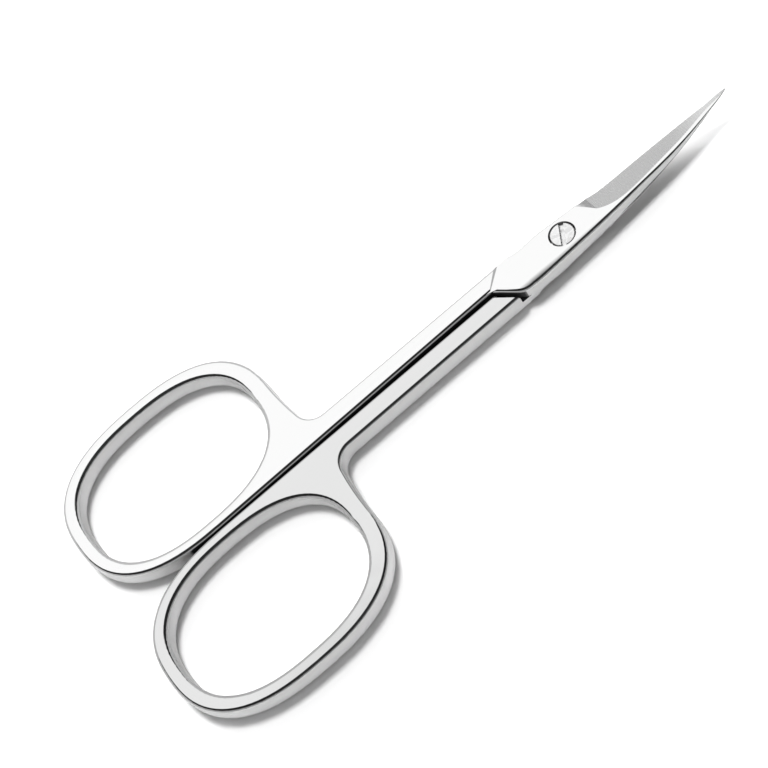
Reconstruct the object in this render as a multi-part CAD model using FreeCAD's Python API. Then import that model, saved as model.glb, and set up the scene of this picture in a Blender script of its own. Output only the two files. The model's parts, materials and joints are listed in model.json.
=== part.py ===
import math
import os
import FreeCAD, Part

V = FreeCAD.Vector
Z = V(0, 0, 1)

# Overall sizes, measured from the pivot axis
tip_reach = 24.4
ring_reach = 65.2
thickness = 2.6

# Finger ring: half sizes of the outer oval, width of the band around the finger hole
# and the shape power of both ovals
ring_long = 14.45
ring_wide = 10.5
end_band = 2.0
web_band = 2.4
inner_band = 1.62
outer_band = 1.82
oval_power = 2.5
oval_steps = 40

# Shank and the web between shank and ring, which flares a little towards the shank
shank_side = 2.76
shank_gap = 0.25
ring_gap = 0.08
crotch_round = 2.4
flare_turn = 9.0
edge_round = 0.42
hole_round = 0.5

# Joint plate behind and around the pivot
heel_reach = 10.3
heel_corner = 2.5
plate_end = 8.0
plate_end_side = 2.35
plate_start = 6.2
joint_half = 2.86
collar_run = 2.85
facet_lead = 0.3
facet_run = 2.73
facet_back = 0.42
facet_drop = 0.22
shoulder_run = 2.45
shoulder_back = 0.55
face_tilt_share = 0.07
face_level = -0.6
side_round = 0.18

# Mating faces: flat disc around the pivot, then a rising bowl for the curved blades
flat_radius = 6.0
bowl_radius = 74.0
play = 0.04

# Curved blades: where the outer faces start to rise and how sharply
upper_rise_start = 14.2
upper_rise_radius = 47.0
lower_rise_start = 6.5
lower_rise_radius = 50.0
edge_land = 0.06

# Blade stations: share of the reach, spine side, cutting side, rounding and lean
# (sides and lean as shares of the joint half width, rounding as a share of the edge
# rounding; the lean sets the lower blade over so that the closed blades cover each other)
station_shares = (
    (-0.127, 0.995, 0.82, 1.0, 0.1),
    (0.0, 0.944, 0.765, 1.0, 0.09),
    (0.15, 0.885, 0.662, 1.0, 0.14),
    (0.32, 0.780, 0.645, 0.86, 0.165),
    (0.44, 0.690, 0.605, 0.72, 0.14),
    (0.59, 0.580, 0.500, 0.60, 0.09),
    (0.74, 0.420, 0.340, 0.40, 0.085),
    (0.88, 0.247, 0.135, 0.22, 0.10),
    (1.0, 0.088, -0.030, 0.10, 0.11),
)
start_shares = (1.0, 0.89, 1.0, 0.075)

# Ground bevel: share of the reach, inner border across the joint and depth at the edge
runout_shares = ((0.132, 0.62, 0.10), (0.196, -0.17, 0.50))
bevel_shares = (
    (0.196, -0.17, 0.50),
    (0.25, -0.41, 0.83),
    (0.32, -0.525, 0.98),
    (0.40, -0.515, 1.0),
    (0.55, -0.40, 1.0),
    (0.72, -0.245, 1.0),
    (0.88, -0.09, 1.0),
    (1.03, 0.075, 1.0),
)

# Pivot screw with a slotted head, a neck and a threaded end
head_radius = 1.5
head_recess = 0.12
head_height = 0.74
head_chamfer = 0.1
neck_radius = 0.95
thread_radius = 0.8
end_chamfer = 0.12
slot_width = 0.58
slot_depth = 0.42
slot_turn = 59.5
head_clearance = 0.16

# One overrun serves all cuts
over = 6.0

mid = thickness / 2
hole_long = ring_long - (end_band + web_band) / 2
hole_wide = ring_wide - (inner_band + outer_band) / 2
axis_shift = (ring_reach - tip_reach) / 2
flip = V(0, 1, 0)


def bowl_height(radius):
    # Height of the mating face at a distance from the pivot
    run = max(0.0, radius - flat_radius)
    return mid + bowl_radius - math.sqrt(bowl_radius ** 2 - run ** 2)


def rise(x, start, radius):
    # Height gained by an outer blade face at a distance along the blade
    run = max(0.0, x - start)
    return radius - math.sqrt(radius ** 2 - run ** 2)


def upper_face(x, y):
    return thickness + face_tilt_share * (face_level - y) + rise(x, upper_rise_start, upper_rise_radius)


def lower_face(x, y):
    return face_tilt_share * (joint_half - y) + rise(x, lower_rise_start, lower_rise_radius)


def wire(points):
    return Part.makePolygon(points + [points[0]])


def oval_point(mid_x, mid_y, long, wide, angle):
    c = math.cos(angle)
    s = math.sin(angle)
    power = 2.0 / oval_power
    x = mid_x + math.copysign(long * abs(c) ** power, c)
    y = mid_y + math.copysign(wide * abs(s) ** power, s)
    return V(x, y, 0)


def oval_curve(mid_x, mid_y, long, wide, first, last):
    # Smooth curve through an oval between two angles, square to the oval's axes at its ends
    angles = [first + (last - first) * i / oval_steps for i in range(oval_steps + 1)]
    points = [oval_point(mid_x, mid_y, long, wide, angle) for angle in angles]
    curve = Part.BSplineCurve()
    if abs(last - first) >= 2 * math.pi:
        curve.interpolate(Points=points[:-1], PeriodicFlag=True)
    else:
        turn = math.copysign(1.0, last - first)
        ends = [V(-turn * math.sin(a), turn * math.cos(a), 0) for a in (first, last)]
        curve.interpolate(Points=points, InitialTangent=ends[0], FinalTangent=ends[1])
    return curve.toShape()


def arc(a, b, c):
    return Part.Arc(a, b, c).toShape()


def line(a, b):
    return Part.makeLine(a, b)


def on_arc(mid_x, mid_y, radius, turn):
    # Point of a circle, turned from its -X side towards -Y
    return V(mid_x - radius * math.cos(turn), mid_y - radius * math.sin(turn), 0)


def ring_and_shank(collar_side):
    # Ring, web and shank in plan, on the +Y side, raised to the full thickness and rounded;
    # the shank ends flush with the side of the joint plate
    ring_x = ring_long - ring_reach
    ring_y = ring_gap + ring_wide
    web_x = ring_x + ring_long
    flare = math.radians(flare_turn)
    crotch_y = shank_side + crotch_round
    flare_radius = (ring_y - crotch_y + crotch_round * math.sin(flare)) / math.sin(flare)
    flare_x = web_x + flare_radius
    crotch_x = flare_x - (flare_radius - crotch_round) * math.cos(flare)
    heel = V(-heel_reach, shank_gap, 0)
    ring_low = V(ring_x, ring_gap, 0)
    ring_right = V(web_x, ring_y, 0)
    web_mid = on_arc(flare_x, ring_y, flare_radius, flare / 2)
    web_low = on_arc(flare_x, ring_y, flare_radius, flare)
    crotch_mid = on_arc(crotch_x, crotch_y, crotch_round, (flare + math.pi / 2) / 2)
    shank_start = V(crotch_x, shank_side, 0)
    collar = V(collar_run - heel_reach, collar_side, 0)
    edges = [
        line(heel, ring_low),
        oval_curve(ring_x, ring_y, ring_long, ring_wide, 1.5 * math.pi, 0.0),
        arc(ring_right, web_mid, web_low),
        arc(web_low, crotch_mid, shank_start),
        line(shank_start, collar),
        line(collar, heel),
    ]
    outer = Part.Wire(Part.__sortEdges__(edges))
    hole_x = end_band + hole_long - ring_reach
    hole_y = ring_gap + inner_band + hole_wide
    hole = Part.Wire([oval_curve(hole_x, hole_y, hole_long, hole_wide, 0.0, 2 * math.pi)])
    solid = Part.Face(outer).extrude(V(0, 0, thickness))
    solid = solid.makeFillet(edge_round, [e for e in solid.Edges if is_long_edge(e)])
    bore = Part.Face(hole).extrude(V(0, 0, thickness))
    solid = solid.cut(bore)
    return solid.makeFillet(hole_round, [e for e in solid.Edges if is_hole_edge(e)])


def is_level(edge):
    box = edge.BoundBox
    flat = box.ZLength < side_round
    return flat and (box.ZMax < side_round or box.ZMin > thickness - side_round)


def is_long_edge(edge):
    # Top and bottom edges, but not those of the joint end
    return is_level(edge) and edge.BoundBox.XMin < -heel_reach - side_round


def is_hole_edge(edge):
    box = edge.BoundBox
    return is_level(edge) and box.YMin > ring_gap + edge_round + side_round and box.YLength > hole_wide


def bowl(lift):
    # Everything under the mating face
    reach = tip_reach + over
    half = flat_radius + (reach - flat_radius) / 2
    points = [V(0, 0, -over), V(reach, 0, -over), V(reach, 0, bowl_height(reach))]
    points += [V(half, 0, bowl_height(half)), V(flat_radius, 0, mid), V(0, 0, mid)]
    edges = [
        line(points[0], points[1]),
        line(points[1], points[2]),
        arc(points[2], points[3], points[4]),
        line(points[4], points[5]),
        line(points[5], points[0]),
    ]
    solid = Part.Face(Part.Wire(edges)).revolve(V(0, 0, 0), Z, 360)
    solid.translate(V(0, 0, lift))
    return solid


def corner(tip, along, back, radius):
    # Rounded corner between two directions leaving a sharp corner point
    half = along.getAngle(back) / 2
    length = radius / math.tan(half)
    start = tip + along * length
    end = tip + back * length
    towards = (along + back).normalize()
    middle = tip + towards * (radius / math.sin(half) - radius)
    return start, middle, end


def lower_lean(side, lean):
    # Sideways set of the lower blade; the upper blade has none
    return min(0.0, side * lean) * joint_half


def plate_side(side, share):
    # Side of the joint plate at its start, set over like the blade
    return lower_lean(side, start_shares[3]) + side * share * joint_half


def section(x, shares, face, side):
    # Cross-section of a blade: side is 1 for the upper blade and -1 for the lower one
    spine, cut, rounding, lean = shares
    spine_y = lower_lean(side, lean) - side * spine * joint_half
    cut_y = lower_lean(side, lean) + side * cut * joint_half
    inner = mid - side * over
    spine_top = V(x, spine_y, face(x, spine_y))
    cut_top = V(x, cut_y, face(x, cut_y))
    across = (cut_top - spine_top).normalize()
    down = V(0, 0, -side)
    a1, a2, a3 = corner(spine_top, down, across, rounding * edge_round)
    b1, b2, b3 = corner(cut_top, across * -1, down, rounding * side_round)
    low_spine = V(x, spine_y, inner)
    low_cut = V(x, cut_y, inner)
    edges = [
        line(low_spine, a1),
        arc(a1, a2, a3),
        line(a3, b1),
        arc(b1, b2, b3),
        line(b3, low_cut),
        line(low_cut, low_spine),
    ]
    return Part.Wire(edges)


def blade_body(face, side):
    # Blade and front of the joint plate, before the bevel is ground
    wires = [section(-plate_start, start_shares, face, side)]
    for station in station_shares:
        wires.append(section(station[0] * tip_reach, station[1:], face, side))
    return Part.makeLoft(wires, True, False)


def grind(shares, ruled, face, side):
    # Material ground off one blade to make its bevel
    wires = []
    for reach, border, depth in shares:
        x = reach * tip_reach
        lean = lower_lean(side, at_station(reach, 4))
        border_y = lean + side * border * joint_half
        edge_y = lean + side * at_station(reach, 2) * joint_half
        edge_z = bowl_height(math.hypot(x, edge_y)) + side * (edge_land + max(0.0, side * play))
        top_z = face(x, border_y)
        low_z = top_z + (edge_z - top_z) * depth
        slope = (low_z - top_z) / (edge_y - border_y)
        out_y = edge_y + side * joint_half
        out_z = low_z + slope * (out_y - edge_y)
        in_y = border_y - side * edge_round
        in_z = top_z - side * slope * edge_round
        points = [V(x, in_y, in_z), V(x, out_y, out_z)]
        points += [V(x, out_y, in_z + side * over), V(x, in_y, in_z + side * over)]
        wires.append(wire(points))
    return Part.makeLoft(wires, True, ruled)


def at_station(reach, column):
    # A station share at any share of the reach, read between the stations or past the last
    before, after = station_shares[-2:]
    for one, two in zip(station_shares[:-1], station_shares[1:]):
        if one[0] <= reach <= two[0]:
            before, after = one, two
    part = (reach - before[0]) / (after[0] - before[0])
    return before[column] + (after[column] - before[column]) * part


def plate_rear(face, side):
    # Pointed rear of the joint plate, with its slanted end wall and rounded corner
    start_spine = plate_side(side, -start_shares[0])
    start_cut = plate_side(side, start_shares[1])
    heel = V(-heel_reach, side * shank_gap, 0)
    end = V(-plate_end, -side * plate_end_side, 0)
    spine = V(-plate_start, start_spine, 0)
    wall = (heel - end).normalize()
    meet = end - wall * ((abs(start_spine) - plate_end_side) / abs(wall.y))
    room = -plate_start - meet.x - side_round - play
    most = room * math.tan(wall.getAngle(V(1, 0, 0)) / 2)
    a1, a2, a3 = corner(meet, wall, V(1, 0, 0), min(heel_corner, most))
    inside = V(-heel_reach - shoulder_back, side * (shank_gap + side_round), 0)
    root = V(-plate_end - shoulder_back, start_cut, 0)
    cut = V(-plate_start, start_cut, 0)
    edges = [line(heel, a1), arc(a1, a2, a3), line(a3, spine), line(spine, cut)]
    edges += [line(cut, root), line(root, inside), line(inside, heel)]
    solid = Part.Face(Part.Wire(edges)).extrude(V(0, 0, thickness + over))
    solid = solid.cut(outer_tool(face, side))
    picked = []
    for edge in solid.Edges:
        box = edge.BoundBox
        at_face = abs(edge.CenterOfMass.z - face(-plate_start, edge.CenterOfMass.y)) < side_round
        at_spine = -side * edge.CenterOfMass.y > -shank_gap and box.XMax < -plate_start + side_round
        if at_face and at_spine and box.XLength > side_round:
            picked.append(edge)
    return solid.makeFillet(edge_round, picked)


def outer_tool(face, side):
    # Everything outside the flat part of a half's outer face
    points = [V(-heel_reach - over, y, face(-plate_start, y)) for y in (-over, over)]
    points += [p + V(heel_reach + over, 0, 0) for p in reversed(points)]
    return Part.Face(wire(points)).extrude(V(0, 0, side * (over + over)))


def facet_tool():
    # Sloping step between the shank's top and the lower joint face
    first = V(-heel_reach - facet_lead, shank_gap, thickness)
    last = V(facet_run - heel_reach - facet_lead, shank_side, thickness)
    along = last - first
    down = V(facet_back, 0, -facet_drop) * (over / facet_back)
    points = [first - along, last + along, last + along + down, first - along + down]
    return Part.Face(wire(points)).extrude(V(0, 0, over))


def shoulder():
    # Room for the other half's plate beside the shank, in plan
    first = V(-heel_reach - shoulder_back, shank_gap, -over)
    last = V(shoulder_run - heel_reach - shoulder_back, shank_side, -over)
    along = last - first
    points = [first - along, last + along, V(0, last.y + along.y, -over), V(0, first.y - along.y, -over)]
    return Part.Face(wire(points)).extrude(V(0, 0, thickness + over + over))


def screw_hole(radius, low, high):
    return Part.makeCylinder(radius, high - low, V(0, 0, low), Z)


head_top = thickness - head_recess
head_low = head_top - head_height
seat = head_low - play


def upper_half():
    # Forging with the ring on +Y: it carries the countersunk head and the top blade
    under = bowl(play)
    handle = ring_and_shank(abs(plate_side(1, start_shares[1])))
    handle = handle.cut(facet_tool())
    handle = handle.cut(shoulder().common(under))
    blade = blade_body(upper_face, 1).fuse(plate_rear(upper_face, 1))
    blade = blade.cut(under)
    blade = blade.cut(grind(runout_shares, True, upper_face, 1))
    blade = blade.cut(grind(bevel_shares, False, upper_face, 1))
    half = handle.fuse(blade).removeSplitter()
    half = half.cut(screw_hole(neck_radius + play, 0, thickness + over))
    return half.cut(screw_hole(head_radius + head_clearance, seat, thickness + over))


def lower_half():
    # Forging with the ring on -Y: its plate lies under the other one and holds the thread
    under = bowl(0)
    handle = ring_and_shank(abs(plate_side(-1, start_shares[1]))).mirror(V(0, 0, 0), flip)
    handle = handle.cut(shoulder().mirror(V(0, 0, 0), flip).cut(under))
    blade = blade_body(lower_face, -1).fuse(plate_rear(lower_face, -1))
    blade = blade.common(under)
    blade = blade.cut(grind(runout_shares, True, lower_face, -1))
    blade = blade.cut(grind(bevel_shares, False, lower_face, -1))
    half = handle.fuse(blade).removeSplitter()
    return half.cut(screw_hole(thread_radius, -over, thickness))


def pivot_screw():
    # Slotted head, plain neck through the upper half, thread in the lower half
    low = lower_face(0, thread_radius)
    head = screw_hole(head_radius, head_low, head_top)
    rim = [e for e in head.Edges if e.BoundBox.ZMin > head_top - head_chamfer]
    head = head.makeChamfer(head_chamfer, rim)
    neck = screw_hole(neck_radius, mid, head_low)
    thread = screw_hole(thread_radius, low, mid)
    foot = [e for e in thread.Edges if e.BoundBox.ZMax < low + end_chamfer]
    thread = thread.makeChamfer(end_chamfer, foot)
    slot = Part.makeBox(over, slot_width, over, V(-over / 2, -slot_width / 2, head_top - slot_depth))
    slot.rotate(V(0, 0, 0), Z, slot_turn)
    return head.fuse(neck).fuse(thread).removeSplitter().cut(slot)


os.makedirs("parts", exist_ok=True)
for piece in (upper_half, lower_half, pivot_screw):
    solid = piece().Solids[0]
    solid.translate(V(axis_shift, 0, 0))
    solid.exportStep("parts/" + piece.__name__ + ".step")
    print(piece.__name__, solid.isValid(), solid.Volume)
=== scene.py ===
import json
import math
import bpy
from mathutils import Matrix, Vector


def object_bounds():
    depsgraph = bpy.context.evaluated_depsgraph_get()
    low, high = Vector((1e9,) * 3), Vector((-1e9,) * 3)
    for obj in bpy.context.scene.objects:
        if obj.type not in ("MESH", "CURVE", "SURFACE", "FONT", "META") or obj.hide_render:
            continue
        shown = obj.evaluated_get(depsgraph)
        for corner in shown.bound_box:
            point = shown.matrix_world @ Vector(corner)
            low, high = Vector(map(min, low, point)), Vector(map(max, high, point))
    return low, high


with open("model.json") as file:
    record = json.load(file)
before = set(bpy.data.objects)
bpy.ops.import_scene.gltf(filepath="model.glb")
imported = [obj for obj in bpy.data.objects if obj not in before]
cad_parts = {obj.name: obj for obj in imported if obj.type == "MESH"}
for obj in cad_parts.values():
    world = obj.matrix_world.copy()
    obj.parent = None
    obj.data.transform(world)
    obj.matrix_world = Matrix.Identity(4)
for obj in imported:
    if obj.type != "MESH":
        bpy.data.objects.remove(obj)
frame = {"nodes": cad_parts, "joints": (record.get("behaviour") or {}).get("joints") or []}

cad_low, cad_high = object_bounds()


# Lower half: one stainless steel forging from finger ring to blade tip, hardened,
# ground and buffed to a mirror. Its blade lies underneath and its joint plate
# carries the thread of the pivot screw. The bevel is left as it came off the wheel.
MM = 0.001
STOCK = 2.6 * MM
pivot = Vector(frame["joints"][0]["pos_m"])

# Places where the finish and the painted shade change, along the scissors and across them
BEVEL_START = pivot.x + 3.0 * MM
RUNOUT_END = (pivot.x + 4.74 * MM, pivot.x + 4.80 * MM)
SHANK_END = pivot.x - 7.4 * MM
JOINT_BACK = pivot.x - 11.0 * MM
GAP_SIDE = (0.26 * MM, 0.30 * MM)
ROLL_START = 0.8 * MM

# Turn of a face, as a share of its normal, that makes it bevel, side wall, rear end or front
BEVEL_LEAN, BEVEL_LEVEL = 0.12, 0.6
WALL_NONE, WALL_FULL = 0.62, 0.35
REAR_NONE, REAR_FULL = -0.2, -0.5
FRONT_NONE, FRONT_FULL = 0.0, -0.8

# Ripple left by buffing, and spacing and length of the lines of belt and wheel. Real
# lines are finer than a pixel, so both are drawn as coarse as they need to show.
RIPPLE = 4.0 * MM
BELT_LINE, BELT_RUN = 0.16 * MM, 3.0 * MM
WHEEL_LINE, WHEEL_RUN = 0.10 * MM, 2.5 * MM
RIPPLE_DEPTH, BELT_DEPTH = 0.2 * MM, 0.02 * MM


def linear(hex_colour):
    # sRGB hex to the linear colour that the shader reads
    channels = [int(hex_colour[i:i + 2], 16) / 255 for i in (1, 3, 5)]
    return [c / 12.92 if c <= 0.04045 else ((c + 0.055) / 1.055) ** 2.4 for c in channels] + [1.0]


def add(tree, kind, inputs=None, **settings):
    # One node with its settings, and its sockets set or linked
    made = tree.nodes.new(kind)
    for name, value in settings.items():
        setattr(made, name, value)
    for name, value in (inputs or {}).items():
        if isinstance(value, bpy.types.NodeSocket):
            tree.links.new(value, made.inputs[name])
        else:
            made.inputs[name].default_value = value
    return made


def scissor_steel(name, face_side, flat_tint, roll):
    # Buffed 420 stainless: a mirror with a faint ripple on the flats, fine upright
    # belt lines on the side walls, and a satin bevel with grinding lines across it.
    # face_side is 1 where the bevel looks up and -1 where it looks down.
    # Its colours also hold painted light and shade: on the side walls, and on the faces in the gaps
    # between the halves
    material = bpy.data.materials.new(name)
    material.use_nodes = True
    tree = material.node_tree
    shader = tree.nodes["Principled BSDF"]
    shader.inputs["Metallic"].default_value = 1.0
    place = add(tree, "ShaderNodeTexCoord")
    where = add(tree, "ShaderNodeSeparateXYZ", {"Vector": place.outputs["Object"]})
    facing = add(tree, "ShaderNodeSeparateXYZ", {"Vector": place.outputs["Normal"]})

    # Bevel: in front of the joint, leaning towards the cutting edge
    beyond = "GREATER_THAN" if face_side > 0 else "LESS_THAN"
    leaning = add(tree, "ShaderNodeMath", {0: facing.outputs["Y"], 1: BEVEL_LEAN * face_side},
                  operation=beyond)
    outward = add(tree, "ShaderNodeMath", {0: facing.outputs["Z"], 1: BEVEL_LEVEL * face_side},
                  operation=beyond)
    forward = add(tree, "ShaderNodeMath", {0: where.outputs["X"], 1: BEVEL_START},
                  operation="GREATER_THAN")
    tilted = add(tree, "ShaderNodeMath", {0: leaning.outputs[0], 1: outward.outputs[0]},
                 operation="MULTIPLY")
    bevel = add(tree, "ShaderNodeMath", {0: tilted.outputs[0], 1: forward.outputs[0]},
                operation="MULTIPLY")

    # Side walls: upright faces
    upright = add(tree, "ShaderNodeMath", {0: facing.outputs["Z"]}, operation="ABSOLUTE")
    wall = add(tree, "ShaderNodeMapRange", {"Value": upright.outputs[0], "From Min": WALL_NONE,
                                            "From Max": WALL_FULL, "To Min": 0.0, "To Max": 1.0})

    # Ripple of the flats, belt lines of the walls and wheel lines of the bevel
    ripple = add(tree, "ShaderNodeTexNoise", {"Vector": place.outputs["Object"],
                                              "Scale": 1 / RIPPLE, "Detail": 1.0})
    belt_map = add(tree, "ShaderNodeMapping", {
        "Vector": place.outputs["Object"], "Scale": (1 / BELT_LINE, 1 / BELT_LINE, 1 / BELT_RUN)})
    belt = add(tree, "ShaderNodeTexNoise", {"Vector": belt_map.outputs[0], "Scale": 1.0,
                                            "Detail": 2.0})
    wheel_map = add(tree, "ShaderNodeMapping", {
        "Vector": place.outputs["Object"], "Scale": (1 / WHEEL_LINE, 1 / WHEEL_RUN, 1 / WHEEL_RUN)})
    wheel = add(tree, "ShaderNodeTexNoise", {"Vector": wheel_map.outputs[0], "Scale": 1.0,
                                             "Detail": 3.0})

    # Roughness: mirror, then wall, then bevel
    mirror_rough = add(tree, "ShaderNodeMapRange", {"Value": ripple.outputs["Fac"],
                                                    "To Min": 0.03, "To Max": 0.09})
    wall_rough = add(tree, "ShaderNodeMapRange", {"Value": belt.outputs["Fac"],
                                                  "To Min": 0.72, "To Max": 0.82})
    bevel_rough = add(tree, "ShaderNodeMapRange", {"Value": wheel.outputs["Fac"],
                                                   "To Min": 0.24, "To Max": 0.30})
    plain_rough = add(tree, "ShaderNodeMix", {"Factor": wall.outputs[0], "A": mirror_rough.outputs[0],
                                              "B": wall_rough.outputs[0]})
    rough = add(tree, "ShaderNodeMix", {"Factor": bevel.outputs[0], "A": plain_rough.outputs[0],
                                        "B": bevel_rough.outputs[0]})
    tree.links.new(rough.outputs[0], shader.inputs["Roughness"])

    # Painted shade: the faces turned to the other half, in the gap between the shanks and on the
    # joint plate's rear end, are painted dark
    off_axis = add(tree, "ShaderNodeMath", {0: where.outputs["Y"]}, operation="ABSOLUTE")
    narrow = add(tree, "ShaderNodeMapRange", {
        "Value": off_axis.outputs[0], "From Min": GAP_SIDE[1], "From Max": GAP_SIDE[0],
        "To Min": 0.0, "To Max": 1.0})
    handle = add(tree, "ShaderNodeMath", {0: where.outputs["X"], 1: SHANK_END},
                 operation="LESS_THAN")
    joint = add(tree, "ShaderNodeMath", {0: where.outputs["X"], 1: JOINT_BACK},
                operation="GREATER_THAN")
    rearward = add(tree, "ShaderNodeMapRange", {
        "Value": facing.outputs["X"], "From Min": REAR_NONE, "From Max": REAR_FULL,
        "To Min": 0.0, "To Max": 1.0})
    end_wall = add(tree, "ShaderNodeMath", {0: rearward.outputs[0], 1: joint.outputs[0]},
                   operation="MULTIPLY")
    hidden = add(tree, "ShaderNodeMath", {0: narrow.outputs[0], 1: end_wall.outputs[0]},
                 operation="MAXIMUM")
    painted_gap_shade = add(tree, "ShaderNodeMath", {0: hidden.outputs[0], 1: handle.outputs[0]},
                operation="MULTIPLY")

    # Painted light on the side walls: paler towards the foot, and palest where they look forward;
    # walls turned elsewhere are painted darker
    height = add(tree, "ShaderNodeMapRange", {"Value": where.outputs["Z"], "From Min": 0.0,
                                              "From Max": STOCK})
    painted_light_foot_tint = add(tree, "ShaderNodeMix", {"Factor": height.outputs[0], "A": linear("#FAFAFA"),
                                            "B": linear("#DADADA")}, data_type="RGBA")
    frontward = add(tree, "ShaderNodeMapRange", {"Value": facing.outputs["Y"],
                                                 "From Min": FRONT_NONE, "From Max": FRONT_FULL})
    painted_light_facing_tint = add(tree, "ShaderNodeMix", {"Factor": frontward.outputs[0], "A": linear("#B8B8B8"),
                                            "B": painted_light_foot_tint.outputs[2]}, data_type="RGBA")
    # Painted shade mixed into the wall colour on the faces in the gap
    gap_shade_tint = add(tree, "ShaderNodeMix", {"Factor": painted_gap_shade.outputs[0], "A": painted_light_facing_tint.outputs[2],
                                            "B": linear("#4A4A4A")}, data_type="RGBA")
    plain_tint = add(tree, "ShaderNodeMix", {"Factor": wall.outputs[0], "A": linear(flat_tint),
                                             "B": gap_shade_tint.outputs[2]}, data_type="RGBA")

    # Where the bevel runs out, near the joint, it is tinted a little darker
    runout_ramp = add(tree, "ShaderNodeMapRange", {
        "Value": where.outputs["X"], "From Min": RUNOUT_END[0], "From Max": RUNOUT_END[1],
        "To Min": 1.0, "To Max": 0.0})
    wheel_tint = add(tree, "ShaderNodeMix", {"Factor": runout_ramp.outputs[0], "A": linear("#C0C0C0"),
                                             "B": linear("#A2A2A2")}, data_type="RGBA")
    tint = add(tree, "ShaderNodeMix", {"Factor": bevel.outputs[0], "A": plain_tint.outputs[2],
                                       "B": wheel_tint.outputs[2]}, data_type="RGBA")
    tree.links.new(tint.outputs[2], shader.inputs["Base Color"])

    # Buffing rolls the flats off a little towards the upper blade's spine
    past = add(tree, "ShaderNodeMath", {0: -ROLL_START, 1: where.outputs["Y"]}, operation="SUBTRACT")
    over = add(tree, "ShaderNodeMath", {0: past.outputs[0], 1: 0.0}, operation="MAXIMUM")
    square = add(tree, "ShaderNodeMath", {0: over.outputs[0], 1: over.outputs[0]},
                 operation="MULTIPLY")
    fall = add(tree, "ShaderNodeMath", {0: square.outputs[0], 1: -roll / MM}, operation="MULTIPLY")
    crown = add(tree, "ShaderNodeBump", {"Height": fall.outputs[0], "Strength": 1.0, "Distance": 1.0})
    swell = add(tree, "ShaderNodeBump", {"Height": ripple.outputs["Fac"], "Strength": 0.06,
                                         "Distance": RIPPLE_DEPTH, "Normal": crown.outputs[0]})
    lines = add(tree, "ShaderNodeMath", {0: belt.outputs["Fac"], 1: wall.outputs[0]},
                operation="MULTIPLY")
    scored = add(tree, "ShaderNodeBump", {"Height": lines.outputs[0], "Strength": 0.10,
                                          "Distance": BELT_DEPTH, "Normal": swell.outputs[0]})
    tree.links.new(scored.outputs[0], shader.inputs["Normal"])
    return material


# The lower half's flats are tinted darker than the upper half's: painted shade, as both halves are
# the same steel
lower_steel = scissor_steel("buffed_stainless_lower", -1, "#B4B4B4", 0.0)
frame["nodes"]["lower_half"].material_slots[0].material = lower_steel

# Upper half: the matching forging whose blade and joint plate lie on top. A recess in
# its plate takes the screw head, and its blade has the bevel that looks up.
CROWN_ROLL = 0.049
upper_steel = scissor_steel("buffed_stainless_upper", 1, "#C4C4C4", CROWN_ROLL)
frame["nodes"]["upper_half"].material_slots[0].material = upper_steel

# Pivot screw: a turned steel screw with a slotted head, sunk into the upper half and
# screwed into the lower one. Its head is dull and scuffed by the screwdriver.
SCUFF, SCUFF_DEPTH = 0.9 * MM, 0.05 * MM


def screw_steel():
    # Turned stainless, left unpolished: small scuffs that are paler and duller than the rest
    material = bpy.data.materials.new("turned_stainless_screw")
    material.use_nodes = True
    tree = material.node_tree
    shader = tree.nodes["Principled BSDF"]
    shader.inputs["Metallic"].default_value = 1.0
    place = add(tree, "ShaderNodeTexCoord")
    scuff = add(tree, "ShaderNodeTexNoise", {"Vector": place.outputs["Object"],
                                             "Scale": 1 / SCUFF, "Detail": 3.0})
    rough = add(tree, "ShaderNodeMapRange", {"Value": scuff.outputs["Fac"], "From Min": 0.35,
                                             "From Max": 0.65, "To Min": 0.10, "To Max": 0.40})
    tree.links.new(rough.outputs[0], shader.inputs["Roughness"])
    patch = add(tree, "ShaderNodeMapRange", {"Value": scuff.outputs["Fac"], "From Min": 0.42,
                                             "From Max": 0.58, "To Min": 0.0, "To Max": 1.0})
    tint = add(tree, "ShaderNodeMix", {"Factor": patch.outputs[0], "A": linear("#B4B4B4"),
                                       "B": linear("#E0E0E0")}, data_type="RGBA")
    tree.links.new(tint.outputs[2], shader.inputs["Base Color"])
    dents = add(tree, "ShaderNodeBump", {"Height": scuff.outputs["Fac"], "Strength": 0.15,
                                         "Distance": SCUFF_DEPTH})
    tree.links.new(dents.outputs[0], shader.inputs["Normal"])
    return material


frame["nodes"]["pivot_screw"].material_slots[0].material = screw_steel()

# Studio: a white table in a bright room. A tall soft panel stands behind the scissors and
# the ceiling is dark. One softbox high at the back throws the short shadow, and a low one
# behind keeps it pale under the raised blades.
FLOOR_SIZE = 4.0
bpy.ops.object.select_all(action="DESELECT")
bpy.ops.mesh.primitive_plane_add(size=FLOOR_SIZE, location=(0, 0, 0))
floor = bpy.context.object
floor.name = "white_table"
table_white = bpy.data.materials.new("matt_white_table")
table_white.use_nodes = True
table_shader = table_white.node_tree.nodes["Principled BSDF"]
table_shader.inputs["Base Color"].default_value = linear("#F2F2F2")
table_shader.inputs["Roughness"].default_value = 0.9
table_shader.inputs["Specular IOR Level"].default_value = 0.1
floor.data.materials.append(table_white)

LIGHT_AWAY = 0.8


def sine(degrees):
    return math.sin(math.radians(degrees))


def floor_light(name, elevation, side, radiance):
    # Square softbox behind the scissors that lights the table but isn't mirrored in the steel
    data = bpy.data.lights.new(name, "AREA")
    data.shape = "SQUARE"
    data.size = side
    data.energy = radiance * math.pi * side ** 2
    lamp = bpy.data.objects.new(name, data)
    bpy.context.scene.collection.objects.link(lamp)
    way = Vector((0.0, sine(90 - elevation), sine(elevation)))
    lamp.location = Vector((pivot.x, 0.0, 0.0)) + way * LIGHT_AWAY
    lamp.rotation_euler = way.to_track_quat("Z", "Y").to_euler()
    lamp.visible_glossy = False
    lamp.visible_camera = False


floor_light("key_softbox", elevation=67, side=0.20, radiance=42.0)
floor_light("back_fill", elevation=19, side=0.60, radiance=12.0)

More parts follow.
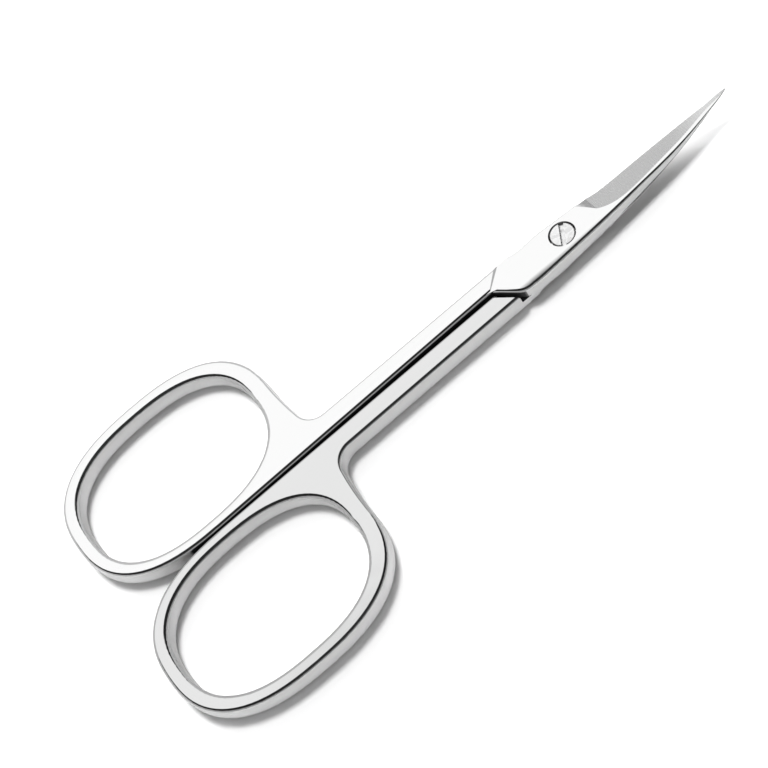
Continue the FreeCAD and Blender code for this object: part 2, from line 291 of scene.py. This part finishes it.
# The room that the steel mirrors: brightness of its parts, then their borders in degrees
ROOM_FRONT, ROOM_BACK, CEILING_LIGHT, PANEL_LIGHT = 0.55, 0.95, 0.04, 1.75
WALL_TOP = [sine(degrees) for degrees in (36, 40)]
PANEL_TOP = [sine(degrees) for degrees in (61, 70)]
PANEL_SIDE = [sine(degrees) for degrees in (46, 56)]
FRONT_AHEAD, BACK_AHEAD = -1.0, 0.4
world = bpy.data.worlds.new("studio_room")
bpy.context.scene.world = world
world.use_nodes = True
room = world.node_tree
heading = add(room, "ShaderNodeTexCoord").outputs["Generated"]
raised = add(room, "ShaderNodeSeparateXYZ", {0: heading}).outputs["Z"]
level = add(room, "ShaderNodeVectorMath", {0: heading, 1: (1, 1, 0)}, operation="MULTIPLY")
compass = add(room, "ShaderNodeVectorMath", {0: level.outputs[0]}, operation="NORMALIZE")
ahead = add(room, "ShaderNodeSeparateXYZ", {0: compass.outputs[0]}).outputs["Y"]
around = add(room, "ShaderNodeMapRange", {
    "Value": ahead, "From Min": FRONT_AHEAD, "From Max": BACK_AHEAD,
    "To Min": ROOM_FRONT, "To Max": ROOM_BACK})
walls = add(room, "ShaderNodeMapRange", {
    "Value": raised, "From Min": WALL_TOP[0], "From Max": WALL_TOP[1],
    "To Min": around.outputs[0], "To Max": CEILING_LIGHT})
tall = add(room, "ShaderNodeMapRange", {
    "Value": raised, "From Min": PANEL_TOP[0], "From Max": PANEL_TOP[1],
    "To Min": PANEL_LIGHT, "To Max": 0.0})
foot = add(room, "ShaderNodeMapRange", {
    "Value": raised, "From Min": WALL_TOP[0], "From Max": WALL_TOP[1],
    "To Min": 0.0, "To Max": 1.0})
wide = add(room, "ShaderNodeMapRange", {
    "Value": ahead, "From Min": PANEL_SIDE[0], "From Max": PANEL_SIDE[1],
    "To Min": 0.0, "To Max": 1.0})
sheet = add(room, "ShaderNodeMath", {0: tall.outputs[0], 1: wide.outputs[0]}, operation="MULTIPLY")
panel = add(room, "ShaderNodeMath", {0: sheet.outputs[0], 1: foot.outputs[0]}, operation="MULTIPLY")
glow = add(room, "ShaderNodeMath", {0: walls.outputs[0], 1: panel.outputs[0]}, operation="MAXIMUM")
room.links.new(glow.outputs[0], room.nodes["Background"].inputs["Strength"])
room.nodes["Background"].inputs["Color"].default_value = linear("#FFFFFF")

# Camera: fitted to the photograph, with the long axis rising to the right. Its angles are
# in degrees, and its place is in millimetres from the pivot at the height of the stock.
AZIMUTH, ELEVATION, ROLL = (math.radians(angle) for angle in (-1.29, 57.47, -39.58))
CAMERA_X, CAMERA_Y, CAMERA_Z = -28.82 * MM, -117.55 * MM, 184.73 * MM
camera_data = bpy.data.cameras.new("camera")
camera_data.lens = 91.49
camera_data.sensor_width = 36.0
camera_data.clip_start = 0.01
camera_data.clip_end = 20.0
camera = bpy.data.objects.new("camera", camera_data)
bpy.context.scene.collection.objects.link(camera)
back = Vector((math.sin(AZIMUTH) * math.cos(ELEVATION),
               -math.cos(AZIMUTH) * math.cos(ELEVATION),
               math.sin(ELEVATION)))
right = Vector((math.cos(AZIMUTH), math.sin(AZIMUTH), 0))
up = back.cross(right)
turned_right = math.cos(ROLL) * right + math.sin(ROLL) * up
turned_up = -math.sin(ROLL) * right + math.cos(ROLL) * up
turn = Matrix((turned_right, turned_up, back)).transposed()
camera_place = Vector((pivot.x + CAMERA_X, CAMERA_Y, cad_low.z + STOCK + CAMERA_Z))
camera.matrix_world = Matrix.Translation(camera_place) @ turn.to_4x4()
bpy.context.scene.camera = camera
bpy.context.scene.view_settings.view_transform = "Standard"
